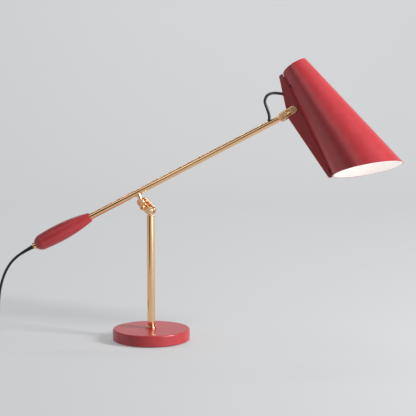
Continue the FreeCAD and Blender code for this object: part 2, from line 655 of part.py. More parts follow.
def make_switch():
    place = SHADE * button_place()
    button = button_block("button_width", "button_length", "button_inside", "button_proud")
    button.Placement = place * button.Placement
    keep("switch_button", button, button.Placement)
    face = value(cone_radius("button_drop - switch_length / 2", "-(shade_wall + switch_gap)"))
    width, length = value("switch_width"), value("switch_length")
    drop, reach = value("button_drop"), face - value("hub_radius") / 2
    block = Part.makeBox(reach, width, length, V(face - reach, -width / 2, -drop - length / 2))
    holder = Part.makeCylinder(value("holder_radius"), length * 2, V(0, 0, -drop - length))
    room_width, room_length = value("button_width + button_gap * 4"), value("button_length + button_gap * 4")
    room = Part.makeBox(value("switch_depth"), room_width, room_length, V(
        face - value("switch_depth"), -room_width / 2, -drop - room_length / 2))
    solid("switch_body", block.cut(holder).cut(room), place)


def make_holder_lead():
    """The two wires in one sleeve, from the grommet through the cone's seam to the lampholder."""
    start = entry_place(value("-fin_wall - grommet_inside")).Base
    end = V(value("holder_radius + holder_lead_gap"), 0, -value("holder_lead_drop"))
    run = end - start
    item = cylinder("holder_lead_radius", "0", frame(start, FreeCAD.Rotation(V(0, 0, 1), run)))
    item.setExpression("Height", None)
    item.Height = run.Length
    keep("holder_lead", item, SHADE * item.Placement)


# ---------------------------------------------------------------- leads, coil and plug

def lead_tube(label, route, radius):
    """A tube along straight runs joined by tangent arcs, each as large as its two runs allow."""
    points = [V(*point) for point in route]
    edges, start, length, radii = [], points[0], 0.0, []
    for before, corner, after in zip(points, points[1:], points[2:]):
        come, go = (corner - before).normalize(), (after - corner).normalize()
        half_turn = come.getAngle(go) / 2
        shorter = min((corner - before).Length, (after - corner).Length)
        back = 0.45 * shorter
        bend = back / math.tan(half_turn)
        first, last = corner - come * back, corner + go * back
        middle = corner + (go - come).normalize() * (bend / math.cos(half_turn) - bend)
        edges.append(Part.LineSegment(start, first).toShape())
        edges.append(Part.Arc(first, middle, last).toShape())
        length += (first - start).Length + 2 * half_turn * bend
        radii.append(round(bend, 1))
        start = last
    edges.append(Part.LineSegment(start, points[-1]).toShape())
    length += (points[-1] - start).Length
    path = Part.Wire(edges)
    circle = Part.Wire(Part.makeCircle(radius, points[0], points[1] - points[0]))
    tube = path.makePipeShell([circle], True, False)
    section = math.pi * radius * radius
    if abs(tube.Volume / (section * length) - 1) > 0.01:
        raise ValueError(label + " is not its section times its length")
    print(label, "length", round(length, 1), "radii", radii)
    solid(label, tube, WORLD)


def make_inner_lead():
    """The lead that runs inside the arm, from the collar to the hole in the arm's top."""
    radius = value("head_lead_radius")
    bend, exit_z = value("arm_radius"), value("lead_exit")
    start, turn_start = V(0, 0, -value("weight_rear + collar_height")), V(0, 0, exit_z - bend)
    middle = V(-bend + bend * math.cos(math.pi / 4), 0, exit_z - bend + bend * math.sin(math.pi / 4))
    turn = Part.Arc(turn_start, middle, V(-bend, 0, exit_z))
    path = Part.Wire([Part.LineSegment(start, turn_start).toShape(), turn.toShape()])
    circle = Part.Wire(Part.makeCircle(radius, start, V(0, 0, 1)))
    solid("arm_lead", path.makePipeShell([circle], True, False), ARM)


def make_coil():
    inner, outer = "coil_mid_radius - coil_width / 2", "coil_mid_radius + coil_width / 2"
    low, high = "coil_lift", "coil_lift + coil_height"
    turned("lead_coil", [
        (inner, low + " + coil_edge"), (inner + " + coil_edge", low),
        (outer + " - coil_edge", low), (outer, low + " + coil_edge"),
        (outer, high + " - coil_edge"), (outer + " - coil_edge", high),
        (inner + " + coil_edge", high), (inner, high + " - coil_edge"),
    ], at("coil_x", "coil_y"))
    wall, width = value("tie_wall"), value("tie_width")
    long, high = value("coil_width + tie_play"), value("coil_height + tie_lift")
    band = Part.makeBox(long + 2 * wall, width, high + 2 * wall).cut(
        Part.makeBox(long, width, high, V(wall, 0, wall)))
    spot = V(value("coil_x"), value("coil_y") + value("coil_mid_radius"), 0)
    turn = FreeCAD.Rotation(V(0, 0, 1), 90)
    solid("lead_tie", band, frame(spot + V(width / 2, -long / 2 - wall, 0), turn))


def make_plug():
    half, length, thick = value("plug_width") / 2, value("plug_length"), value("plug_thick")
    back, x = value("plug_back"), value("plug_x")
    corners = [(0.62, 0), (0.95, -0.35), (1, -0.62), (0.86, -1)]
    ring_points = [V(half * a, length * b, 0) for a, b in corners]
    ring_points += [V(-p.x, p.y, 0) for p in reversed(ring_points)]
    body = Part.Face(Part.makePolygon(ring_points + ring_points[:1])).extrude(V(0, 0, thick))
    upright = [edge for edge in body.Edges if abs(edge.tangentAt(edge.FirstParameter).z) > 0.9]
    solid("plug_body", body.makeFillet(value("plug_edge"), upright), frame(V(x, back, 0), FreeCAD.Rotation()))
    pins = []
    for side in (-1, 1):
        foot = V(side * value("pin_spacing") / 2, -length, thick / 2)
        place = frame(foot, FreeCAD.Rotation(V(1, 0, 0), 90))
        pins.append(cylinder("pin_radius", "pin_length", place))
    keep("plug_pins", joined(*pins), frame(V(x, back, 0), FreeCAD.Rotation()))
    turned("plug_relief", [
        ("lead_radius + fit_gap", "-relief_length"), ("lead_radius + relief_wall", "-relief_length"),
        ("relief_radius", "0"), ("0", "0"), ("0", "-relief_root"), ("lead_radius + fit_gap", "-relief_root"),
    ], frame(V(x, back, thick / 2), FreeCAD.Rotation(V(1, 0, 0), 90)))


def make_pivot_pin():
    half = "plate_gap / 2 + plate_thick"
    ring("shade_pivot_pin", "pivot_bore", "pivot_radius", "-(%s)" % half, half,
         HEAD_CLAMP * at("ball_spacing / 2"))


make_base()
make_stem()
ball_stud("stem_ball", "stem_top - spigot_depth - ball_height", "-plate_radius - stem_neck",
          frame(stem_ball, FreeCAD.Rotation()))
make_clamp("lower_clamp", "ball", LOWER_CLAMP)
make_arm()
ball_stud("arm_end_ball", "arm_front - spigot_depth / 2 - arm_reach", "-plate_radius - end_neck",
          frame(end_ball, arm_rotation))
make_clamp("head_clamp", "pin", HEAD_CLAMP)
make_pivot_pin()
make_cone()
make_fin()
make_shade_fittings()
make_lampholder()
make_switch()
make_holder_lead()
make_inner_lead()
lead_tube("mains_lead", MAINS_ROUTE, value("lead_radius"))
lead_tube("lead_tail", TAIL_ROUTE, value("lead_radius"))
lead_tube("head_lead", HEAD_ROUTE, value("head_lead_radius"))
make_coil()
make_plug()
doc.recompute()

for item in doc.Objects:
    if "Invalid" in item.State or "Error" in item.State:
        raise ValueError("%s is not built: %s" % (item.Label, item.State))
for label, item in nodes.items():
    if item.Shape.isNull() or not item.Shape.isValid():
        raise ValueError(label + " has no valid shape")

os.makedirs("parts", exist_ok=True)
for label, item in nodes.items():
    item.Shape.exportStep("parts/%s.step" % label)
print(len(nodes), "nodes")
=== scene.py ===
import json
import math
import bpy
import bmesh
from mathutils import Matrix, Vector


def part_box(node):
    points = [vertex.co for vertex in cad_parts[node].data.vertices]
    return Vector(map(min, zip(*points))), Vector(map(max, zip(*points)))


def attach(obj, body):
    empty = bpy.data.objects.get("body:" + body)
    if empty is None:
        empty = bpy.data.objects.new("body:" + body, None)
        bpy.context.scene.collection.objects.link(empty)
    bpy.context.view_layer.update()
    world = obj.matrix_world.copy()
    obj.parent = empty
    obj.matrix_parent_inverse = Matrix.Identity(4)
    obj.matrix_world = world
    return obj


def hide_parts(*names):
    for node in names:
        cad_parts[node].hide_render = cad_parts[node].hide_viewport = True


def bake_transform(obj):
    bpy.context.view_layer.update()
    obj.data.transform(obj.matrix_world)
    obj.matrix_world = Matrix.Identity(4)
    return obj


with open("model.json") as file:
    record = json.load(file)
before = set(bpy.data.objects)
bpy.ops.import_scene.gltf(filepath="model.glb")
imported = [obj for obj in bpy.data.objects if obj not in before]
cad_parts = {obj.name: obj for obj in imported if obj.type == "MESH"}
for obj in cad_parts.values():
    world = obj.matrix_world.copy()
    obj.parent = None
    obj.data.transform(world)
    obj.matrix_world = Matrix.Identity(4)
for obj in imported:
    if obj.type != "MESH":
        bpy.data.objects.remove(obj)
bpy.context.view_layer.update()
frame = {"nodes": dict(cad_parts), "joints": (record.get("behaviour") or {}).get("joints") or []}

record_joints = {joint["name"]: joint for joint in frame["joints"]}

# ------------------------------------------------------------------ camera
# The viewer stands well back from the table, a little above the shade, and looks slightly down.

camera = bpy.data.objects.new("camera", bpy.data.cameras.new("camera"))
camera.data.lens = 112.5
camera.data.sensor_width = 36.0
camera.data.clip_end = 60.0
camera.location = (0.118, -2.662, 0.5752)
camera.rotation_euler = (math.radians(90.0 - 6.4), 0.0, 0.0)
bpy.context.scene.collection.objects.link(camera)
bpy.context.scene.camera = camera

# ------------------------------------------------------------------ mains lead
# A round flexible lead, black PVC over two cores.  It comes out of the arm's end collar, hangs
# down to the table and goes on to a tied coil of spare length and its plug.

LEAD_RADIUS = 0.00275
COIL = {"pitch": 2.04, "turns": 7.5, "lower_turns": 3.4, "climb": 0.7, "start": 2.0, "per_turn": 14,
        "lift": 0.0001}
RELIEF = {"run": 0.024, "collar": 0.0044, "tip": 0.0030, "taper": 0.7}
CLEAR_OF_TABLE = 0.075
ON_TABLE = 0.012
MAINS_ROUTE = [
    (-0.2449, 0.0114, 0.1948), (-0.2632, 0.0114, 0.1852), (-0.2870, 0.0112, 0.1680),
    (-0.3030, 0.0118, 0.1445), (-0.3132, 0.0126, 0.1170), (-0.3182, 0.0138, 0.0880),
    (-0.3208, 0.0152, 0.0580), (-0.3228, 0.0170, 0.0274), (-0.3236, 0.0252, 0.0116),
    (-0.3278, 0.0404, 0.0029), (-0.3330, 0.0580, 0.0029), (-0.3364, 0.0800, 0.0034),
]
TAIL_ROUTE = [
    (-0.4156, 0.0640, 0.0055), (-0.4085, 0.0450, 0.0032), (-0.3985, 0.0270, 0.0046),
    (-0.3895, 0.0125, 0.0066), (-0.3880, -0.0020, 0.0070),
]


def shader(name, colour, roughness, metallic=0.0):
    """A new material and the parts of it that every finish here uses."""
    material = bpy.data.materials.new(name)
    material.use_nodes = True
    surface = material.node_tree.nodes["Principled BSDF"]
    surface.inputs["Base Color"].default_value = (*colour, 1.0)
    surface.inputs["Roughness"].default_value = roughness
    surface.inputs["Metallic"].default_value = metallic
    return material, surface


def noise(material, scale, detail=2.0, stretch=(1.0, 1.0, 1.0)):
    """Noise in the row frame, in features per metre, drawn out along the axes in stretch."""
    nodes, links = material.node_tree.nodes, material.node_tree.links
    place = nodes.new("ShaderNodeTexCoord")
    mapping = nodes.new("ShaderNodeMapping")
    mapping.inputs["Scale"].default_value = stretch
    texture = nodes.new("ShaderNodeTexNoise")
    texture.inputs["Scale"].default_value = scale
    texture.inputs["Detail"].default_value = detail
    links.new(place.outputs["Object"], mapping.inputs["Vector"])
    links.new(mapping.outputs["Vector"], texture.inputs["Vector"])
    return texture.outputs["Fac"]


def vary(material, surface, source, socket, low, high):
    """Let a socket wander between two values or two colours with a texture."""
    nodes, links = material.node_tree.nodes, material.node_tree.links
    ramp = nodes.new("ShaderNodeValToRGB")
    ramp.color_ramp.elements[0].position = 0.3
    ramp.color_ramp.elements[1].position = 0.7
    for element, level in zip(ramp.color_ramp.elements, (low, high)):
        element.color = (*level, 1.0) if isinstance(level, tuple) else (level, level, level, 1.0)
    links.new(source, ramp.inputs["Fac"])
    links.new(ramp.outputs["Color"], surface.inputs[socket])


def bump(material, surface, source, depth, strength=1.0):
    """Raise the surface by a texture; depth is in metres."""
    nodes, links = material.node_tree.nodes, material.node_tree.links
    relief = nodes.new("ShaderNodeBump")
    relief.inputs["Strength"].default_value = strength
    relief.inputs["Distance"].default_value = depth
    if surface.inputs["Normal"].links:
        links.new(surface.inputs["Normal"].links[0].from_socket, relief.inputs["Normal"])
    links.new(source, relief.inputs["Height"])
    links.new(relief.outputs["Normal"], surface.inputs["Normal"])


def make_cable_finish():
    material, surface = shader("black_cable_sheath", (0.006, 0.006, 0.0065), 0.42)
    surface.inputs["Specular IOR Level"].default_value = 0.45
    vary(material, surface, noise(material, 260.0, 3.0), "Base Color",
         (0.004, 0.004, 0.0045), (0.009, 0.009, 0.0095))
    vary(material, surface, noise(material, 900.0), "Roughness", 0.36, 0.52)
    bump(material, surface, noise(material, 2600.0), 0.00004, 0.35)
    return material


def piece(name, mesh, finish, sharp=32.0):
    """Put a mesh in the scene, smooth except across edges sharper than that many degrees."""
    thing = bpy.data.objects.new(name, mesh)
    bpy.context.scene.collection.objects.link(thing)
    mesh.shade_smooth()
    mesh.set_sharp_from_angle(angle=math.radians(sharp))
    mesh.materials.append(finish)
    return thing


def route_line(route, steps=8):
    """The smooth line through a route: a NURBS spline with the route's points as its control points."""
    curve = bpy.data.curves.new("route", "CURVE")
    curve.dimensions = "3D"
    curve.resolution_u = steps
    spline = curve.splines.new("NURBS")
    spline.points.add(len(route) - 1)
    for point, spot in zip(spline.points, route):
        point.co = (*spot, 1.0)
    spline.order_u = 3
    spline.use_endpoint_u = True
    holder = bpy.data.objects.new("route", curve)
    bpy.context.scene.collection.objects.link(holder)
    mesh = bpy.data.meshes.new_from_object(holder)
    line = [vertex.co.copy() for vertex in mesh.vertices]
    bpy.data.objects.remove(holder)
    bpy.data.meshes.remove(mesh)
    return line


def run_length(line):
    """How long a line is."""
    return sum((b - a).length for a, b in zip(line, line[1:]))


def reached(line, run):
    """The first place along a line that is at least this far along it."""
    return next(n for n in range(len(line)) if run_length(line[:n + 1]) >= run)


def sleeve_mesh(name, line, radius, sides=20):
    """A closed round sleeve along a line; radius is a number, or a function of the distance run."""
    size = radius if callable(radius) else lambda run: radius
    mesh = bmesh.new()
    side, run, rings = None, 0.0, []
    for n, spot in enumerate(line):
        ahead = (line[min(n + 1, len(line) - 1)] - line[max(n - 1, 0)]).normalized()
        side = (side - ahead * side.dot(ahead)).normalized() if side else ahead.orthogonal().normalized()
        up = ahead.cross(side)
        run += (spot - line[n - 1]).length if n else 0.0
        ring = []
        for k in range(sides):
            angle = 2.0 * math.pi * k / sides
            ring.append(mesh.verts.new(spot + (side * math.cos(angle) + up * math.sin(angle)) * size(run)))
        rings.append(ring)
    for first, second in zip(rings, rings[1:]):
        for k in range(sides):
            mesh.faces.new((first[k], first[(k + 1) % sides], second[(k + 1) % sides], second[k]))
    mesh.faces.new(rings[0][::-1])
    mesh.faces.new(rings[-1])
    made = bpy.data.meshes.new(name)
    mesh.to_mesh(made)
    mesh.free()
    return made


def coil_turns():
    """The coil's points: in along the lower layer, up at the middle, out along the upper one."""
    coil_low, coil_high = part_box("lead_coil")
    middle = (coil_low + coil_high) / 2.0
    spacing = LEAD_RADIUS * COIL["pitch"]
    outer = (coil_high.x - coil_low.x) / 2.0 - LEAD_RADIUS
    inner = outer - COIL["lower_turns"] * spacing
    points = []
    for n in range(1, int(COIL["turns"] * COIL["per_turn"]) + 1):
        turned = n / COIL["per_turn"]
        climbed = turned - COIL["lower_turns"]
        layer = min(max(climbed / COIL["climb"], 0.0), 1.0)
        reach = outer - turned * spacing
        if climbed >= 0.0:
            reach = max(inner, inner + (climbed - COIL["climb"]) * spacing)
        reach /= math.cos(math.pi / COIL["per_turn"])
        height = coil_low.z + LEAD_RADIUS + COIL["lift"] + layer * spacing
        angle = math.radians(COIL["start"]) + 2.0 * math.pi * turned
        points.append((middle.x + reach * math.cos(angle), middle.y + reach * math.sin(angle), height))
    return points


cable = make_cable_finish()
whole_line = route_line(MAINS_ROUTE + coil_turns() + TAIL_ROUTE)
relief_end = reached(whole_line, RELIEF["run"])
upper_end = next(n for n, spot in enumerate(whole_line) if spot.z < CLEAR_OF_TABLE)
lower_end = next(n for n, spot in enumerate(whole_line) if spot.z < ON_TABLE)

upper_line = whole_line[:upper_end + 1]
mains_upper = piece("mains_lead_upper", sleeve_mesh("mains_lead_upper", upper_line, LEAD_RADIUS), cable)
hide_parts("mains_lead")
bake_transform(mains_upper)

lower_line = whole_line[upper_end:lower_end + 1]
mains_lower = piece("mains_lead_lower", sleeve_mesh("mains_lead_lower", lower_line, LEAD_RADIUS), cable)
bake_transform(mains_lower)

table_line = whole_line[lower_end:]
mains_table = piece("mains_lead_on_table", sleeve_mesh("mains_lead_on_table", table_line, LEAD_RADIUS), cable)
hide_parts("lead_coil", "lead_tail")
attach(mains_table, "turning_ball")

relief_line = whole_line[:relief_end + 1]
relief_run = run_length(relief_line)


def relief_radius(run):
    return RELIEF["collar"] + (RELIEF["tip"] - RELIEF["collar"]) * (run / relief_run) ** RELIEF["taper"]


lead_relief = piece("lead_relief", sleeve_mesh("lead_relief", relief_line, relief_radius), cable)
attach(lead_relief, "arm")

# ------------------------------------------------------------------ head lead
# The thinner lead that leaves the arm's top, loops up and goes into the grommet in the shade's
# fin.  Its slack lets the head turn; it is made here in three parts along its length.

HEAD_RADIUS = 0.0029
HEAD_ROUTE = [
    (0.2406, 0.0114, 0.4475), (0.2438, 0.0114, 0.4565), (0.2440, 0.0114, 0.4670), (0.2386, 0.0115, 0.4820),
    (0.2334, 0.0122, 0.4955), (0.2384, 0.0140, 0.5075), (0.2490, 0.0180, 0.5122), (0.2596, 0.0216, 0.5120),
    (0.2690, 0.0229, 0.5106), (0.2745, 0.0224, 0.5108), (0.2835, 0.0206, 0.5138),
]
HEAD_BENDS = (0.335, 0.665)
head_line = route_line(HEAD_ROUTE, 16)
first, second = (reached(head_line, run_length(head_line) * share) for share in HEAD_BENDS)
head_parts = [
    ("head_lead_low", head_line[:first + 1], "arm", "end_ball"),
    ("head_lead_middle", head_line[first:second + 1], "end_ball", "head_clamp"),
    ("head_lead_high", head_line[second:], "head_clamp", "shade"),
]
for name, line, before, after in head_parts:
    part = piece(name, sleeve_mesh(name, line, HEAD_RADIUS), cable)
    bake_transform(part)
    if before == "arm":
        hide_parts("head_lead")

# ------------------------------------------------------------------ table and light
# A pale sweep of paper under and behind the lamp, with a large soft light from the right, a
# weaker one from the left, and an even pale surround for the polished brass to reflect.

PAPER = (0.34, 0.344, 0.35)
CARD_AIM = Vector((0.0, 0.0, 0.25))


def make_paper():
    material, surface = shader("paper_sweep", PAPER, 0.9)
    surface.inputs["Specular IOR Level"].default_value = 0.1
    surface.inputs["Emission Color"].default_value = (0.978, 0.988, 1.0, 1.0)
    surface.inputs["Emission Strength"].default_value = 0.265
    bump(material, surface, noise(material, 700.0), 0.00003, 0.2)
    return material


def make_sweep():
    """The sweep: flat table, a wide bend, then straight up."""
    near, bend_start, bend_radius, top, half = -6.0, 2.6, 1.6, 5.0, 7.0
    section = [(near, 0.0), (0.0, 0.0), (bend_start, 0.0)]
    steps = 24
    for n in range(1, steps + 1):
        angle = math.pi / 2.0 * n / steps
        section.append((bend_start + bend_radius * math.sin(angle), bend_radius * (1.0 - math.cos(angle))))
    section.append((bend_start + bend_radius, top))
    corners = [(x, y, z) for y, z in section for x in (-half, half)]
    faces = [(2 * n, 2 * n + 1, 2 * n + 3, 2 * n + 2) for n in range(len(section) - 1)]
    mesh = bpy.data.meshes.new("paper_sweep")
    mesh.from_pydata(corners, [], faces)
    return piece("paper_sweep", mesh, make_paper(), 60.0)


def soft_light(name, spot, aim, size, power):
    """A lamp behind a diffuser, pointing from its spot to its aim."""
    light = bpy.data.lights.new(name, "AREA")
    light.shape = "RECTANGLE"
    light.size, light.size_y = size
    light.energy = power
    holder = bpy.data.objects.new(name, light)
    holder.location = spot
    holder.rotation_euler = (Vector(aim) - Vector(spot)).to_track_quat("-Z", "Y").to_euler()
    bpy.context.scene.collection.objects.link(holder)
    return holder


make_sweep()
soft_light("key_right", spot=(3.2, -1.45, 1.95), aim=(0.1, 0.0, 0.25), size=(0.8, 1.5), power=214.0)
soft_light("edge_left", spot=(-2.3, 0.1, 0.9), aim=(0.0, 0.0, 0.3), size=(1.3, 1.9), power=9.0)
soft_light("overhead", spot=(0.4, 0.3, 2.3), aim=(0.15, 0.0, 0.2), size=(1.2, 1.0), power=6.0)
soft_light("backdrop", spot=(0.0, 2.0, 3.6), aim=(0.0, 4.1, 1.2), size=(5.0, 0.8), power=95.0)


def reflector(name, spot, size, brightness):
    """A card that only polished surfaces see: dark ones draw stripes in brass, bright ones draw lines."""
    wide, high = size[0] / 2.0, size[1] / 2.0
    mesh = bpy.data.meshes.new(name)
    corners = [(-wide, -high, 0.0), (wide, -high, 0.0), (wide, high, 0.0), (-wide, high, 0.0)]
    mesh.from_pydata(corners, [], [(0, 1, 2, 3)])
    material, surface = shader(name, (0.005, 0.005, 0.005), 1.0)
    surface.inputs["Specular IOR Level"].default_value = 0.0
    surface.inputs["Emission Color"].default_value = (1.0, 0.99, 0.97, 1.0)
    surface.inputs["Emission Strength"].default_value = brightness
    card = piece(name, mesh, material)
    card.location = spot
    card.rotation_euler = (CARD_AIM - Vector(spot)).to_track_quat("-Z", "Y").to_euler()
    card.visible_camera = card.visible_diffuse = card.visible_shadow = False
    card.visible_transmission = card.visible_volume_scatter = False


reflector("dark_card_front", spot=(-0.50, -0.76, 0.35), size=(0.42, 1.1), brightness=0.0)
reflector("bright_card_above", spot=(-0.95, -1.35, 1.55), size=(1.3, 1.1), brightness=1.5)
reflector("bright_card_right", spot=(1.15, -1.05, 0.45), size=(0.75, 1.5), brightness=3.2)
reflector("bright_card_left", spot=(-1.6, -0.1, 0.5), size=(1.2, 1.2), brightness=0.6)

surround = bpy.data.worlds.new("surround")
surround.use_nodes = True
surround.node_tree.nodes["Background"].inputs["Color"].default_value = (0.9, 0.92, 0.95, 1.0)
surround.node_tree.nodes["Background"].inputs["Strength"].default_value = 0.10
bpy.context.scene.world = surround
bpy.context.scene.view_settings.view_transform = "Standard"

# ------------------------------------------------------------------ base
# A heavy turned steel disc, powder-coated in satin red.  A felt ring is glued in under it, and
# a washer and nut clamp the stem from below.


def make_red_paint():
    material, surface = shader("red_powder_coat", (0.42, 0.032, 0.040), 0.36)
    surface.inputs["Coat Weight"].default_value = 0.06
    surface.inputs["Coat Roughness"].default_value = 0.22
    vary(material, surface, noise(material, 60.0, 3.0), "Base Color",
         (0.400, 0.028, 0.035), (0.445, 0.036, 0.044))
    vary(material, surface, noise(material, 1400.0), "Roughness", 0.31, 0.41)
    bump(material, surface, noise(material, 1500.0, 3.0), 0.00003, 0.45)
    return material


def make_felt():
    material, surface = shader("pressed_felt", (0.05, 0.05, 0.055), 0.95)
    surface.inputs["Sheen Weight"].default_value = 0.4
    vary(material, surface, noise(material, 800.0, 4.0), "Base Color",
         (0.03, 0.03, 0.033), (0.09, 0.09, 0.095))
    bump(material, surface, noise(material, 2200.0, 4.0), 0.0002, 0.6)
    return material


def make_plated_steel():
    material, surface = shader("plated_steel", (0.62, 0.60, 0.57), 0.28, 1.0)
    vary(material, surface, noise(material, 300.0, 3.0), "Roughness", 0.22, 0.38)
    bump(material, surface, noise(material, 3000.0), 0.00002, 0.3)
    return material


def finish(material, *names):
    """Give CAD nodes their finish."""
    for name in names:
        node = frame["nodes"][name]
        if not node.material_slots:
            node.data.materials.append(material)
        for slot in node.material_slots:
            slot.material = material


red_paint = make_red_paint()
plated_steel = make_plated_steel()
finish(red_paint, "base_disc")
finish(make_felt(), "base_pad")
finish(plated_steel, "base_washer", "base_nut")

# ------------------------------------------------------------------ stem
# A drawn brass tube, polished and lacquered, with a turned ferrule at its foot, a turned plug
# in its top and a ball stud screwed into the plug.


def make_brass(name, roughness=0.10):
    material, surface = shader(name, (0.89, 0.555, 0.30), roughness, 1.0)
    vary(material, surface, noise(material, 90.0, 3.0), "Base Color",
         (0.87, 0.535, 0.285), (0.91, 0.58, 0.325))
    vary(material, surface, noise(material, 1100.0, 3.0), "Roughness", roughness * 0.8, roughness * 1.3)
    bump(material, surface, noise(material, 4200.0, 2.0, (1.0, 1.0, 0.08)), 0.000008, 0.5)
    return material


brass = make_brass("polished_brass")
finish(brass, "stem_ferrule", "stem_tube", "stem_plug", "stem_ball")

# ------------------------------------------------------------------ lower clamp
# Two milled brass plates grip the stem's ball and the arm's ball between them.  A cap screw
# with a hexagon socket draws them together into a round nut.


def axes_at(spot, along, normal):
    """A place whose X runs along and whose Z is the normal."""
    x, z = Vector(along).normalized(), Vector(normal).normalized()
    y = z.cross(x)
    place = Matrix((x, y, z)).transposed().to_4x4()
    place.translation = spot
    return place


def eased(corners, steps=5):
    """The line through corners of (x, y, fillet), rounded by each corner's own fillet."""
    line = []
    for n, (x, y, fillet) in enumerate(corners):
        here = Vector((x, y))
        if not fillet:
            line.append((x, y))
            continue
        back = (Vector(corners[n - 1][:2]) - here).normalized()
        onward = (Vector(corners[(n + 1) % len(corners)][:2]) - here).normalized()
        half = back.angle(onward) / 2.0
        centre = here + (back + onward).normalized() * (fillet / math.sin(half))
        start = here + back * (fillet / math.tan(half)) - centre
        end = here + onward * (fillet / math.tan(half)) - centre
        turn = (math.atan2(end.y, end.x) - math.atan2(start.y, start.x) + math.pi) % (2.0 * math.pi) - math.pi
        for k in range(steps + 1):
            angle = math.atan2(start.y, start.x) + turn * k / steps
            line.append((centre.x + fillet * math.cos(angle), centre.y + fillet * math.sin(angle)))
    return line


def skinned(name, rings, place):
    """A closed skin over rings of points; a ring of one point is a tip."""
    mesh = bmesh.new()
    made = [[mesh.verts.new(spot) for spot in ring] for ring in rings]
    for first, second in zip(made, made[1:]):
        for k in range(max(len(first), len(second))):
            corners = [first[k % len(first)], first[(k + 1) % len(first)],
                       second[(k + 1) % len(second)], second[k % len(second)]]
            mesh.faces.new(list(dict.fromkeys(corners)))
    for ring in (made[0], made[-1]):
        if len(ring) > 1:
            mesh.faces.new(ring)
    bmesh.ops.recalc_face_normals(mesh, faces=mesh.faces)
    mesh.transform(place)
    skin = bpy.data.meshes.new(name)
    mesh.to_mesh(skin)
    mesh.free()
    return skin


def turned(name, outline, place, sides=64, flats=None):
    """A turned piece: (radius, height) points spun about Z.  flats gives rings with six flats."""
    rings = []
    for n, (radius, height) in enumerate(outline):
        ring = []
        for k in range(sides if radius > 0.0 else 1):
            angle = 2.0 * math.pi * k / sides
            reach = radius
            if flats and n in flats:
                reach *= math.cos(math.pi / 6.0) / math.cos(angle % (math.pi / 3.0) - math.pi / 6.0)
            ring.append((reach * math.cos(angle), reach * math.sin(angle), height))
        rings.append(ring)
    return skinned(name, rings, place)


def slab(name, outline, profile, place):
    """A flat outline carried along a profile of (inset, height), closed at both ends."""
    points = [Vector(point) for point in outline]
    if sum(a.cross(b) for a, b in zip(points, points[1:] + points[:1])) < 0.0:
        points.reverse()
    inward = []
    for n in range(len(points)):
        along = (points[(n + 1) % len(points)] - points[n - 1]).normalized()
        inward.append(Vector((-along.y, along.x)))
    rings = []
    for inset, height in profile:
        rings.append([(*(spot + side * inset), height) for spot, side in zip(points, inward)])
    return skinned(name, rings, place)


def bake(thing):
    """Work the piece's modifiers into its mesh."""
    state = bpy.context.evaluated_depsgraph_get()
    made = bpy.data.meshes.new_from_object(
        thing.evaluated_get(state), preserve_all_data_layers=True, depsgraph=state)
    thing.modifiers.clear()
    old, thing.data = thing.data, made
    bpy.data.meshes.remove(old)


def carve(thing, *cutters):
    """Cut each of the cutter meshes out of a piece, then settle its edges and shading."""
    for cutter in cutters:
        tool = bpy.data.objects.new("cutter", cutter)
        bpy.context.scene.collection.objects.link(tool)
        cut = thing.modifiers.new("cut", "BOOLEAN")
        cut.operation = "DIFFERENCE"
        cut.solver = "EXACT"
        cut.object = tool
        bake(thing)
        bpy.data.objects.remove(tool)
    settle(thing)


def settle(thing, sharp=32.0):
    """Flat faces stay flat and only their rounded edges catch the light."""
    thing.data.shade_smooth()
    thing.data.set_sharp_from_angle(angle=math.radians(sharp))
    even = thing.modifiers.new("even", "WEIGHTED_NORMAL")
    even.keep_sharp = True
    bake(thing)


PLATE = {"radius": 0.0082, "thick": 0.0035, "gap": 0.009, "inner_edge": 0.0004, "outer_edge": 0.0011,
         "flat": 0.005}
BALL_SEAT = 0.0071
DIMPLE = 0.0013
HOLE_FIT = 0.0001
THROUGH = 0.006
SCREW = {"head": 0.0056, "height": 0.0075, "edge": 0.0016, "socket": 0.0023, "depth": 0.004, "shank": 0.0025}
NUT = {"radius": 0.0045, "height": 0.005}


def plate_outline(spacing, count=72):
    """An oblong with half-round ends, their centres a spacing apart."""
    outline = []
    for k in range(count):
        angle = 2.0 * math.pi * (k + 0.5) / count
        middle = math.copysign(spacing / 2.0, math.cos(angle))
        outline.append((middle + PLATE["radius"] * math.cos(angle), PLATE["radius"] * math.sin(angle)))
    return outline


def ball_tool(x):
    """A ball that hollows a seat."""
    steps = 28
    arc = []
    for n in range(1, steps):
        angle = math.pi * n / steps
        arc.append((BALL_SEAT * math.sin(angle), -BALL_SEAT * math.cos(angle)))
    outline = [(0.0, -BALL_SEAT)] + arc + [(0.0, BALL_SEAT)]
    return turned("ball_tool", outline, Matrix.Translation((x, 0.0, 0.0)), 72)


def hole_tool(x, radius, side, flare=0.0004):
    """A drill through a plate, flared where it comes out at the face."""
    face = PLATE["gap"] / 2.0 + PLATE["thick"]
    wide, out = radius + 2.0 * flare, face + flare
    outline = [(0.0, 0.0), (radius, 0.0), (radius, face - flare), (wide, out), (0.0, out)]
    outline = [(r, height * side) for r, height in outline]
    return turned("hole_tool", outline, Matrix.Translation((x, 0.0, 0.0)), 48)


def make_plate(name, place, spacing, side, seats, pin=None):
    """An oblong plate on one side of the balls, with a ball seat or a pin hole at each end."""
    low, thick = PLATE["gap"] / 2.0, PLATE["thick"]
    inner, outer, flat = PLATE["inner_edge"], PLATE["outer_edge"], PLATE["flat"]
    profile = eased([(flat, low, 0), (0, low, inner), (0, low + thick, outer), (flat, low + thick, 0)])
    profile = [(inset, height * side) for inset, height in profile]
    plate = piece(name, slab(name, plate_outline(spacing), profile, Matrix.Identity(4)), clamp_brass)
    tools = [hole_tool(0.0, SCREW["shank"] + HOLE_FIT, side, 0.0002)]
    tools += [ball_tool(x) for x in seats] + [hole_tool(x, DIMPLE, side) for x in seats]
    if pin:
        tools.append(hole_tool(pin[0], pin[1], side, 0.0003))
    carve(plate, *tools)
    plate.data.transform(place)
    return plate


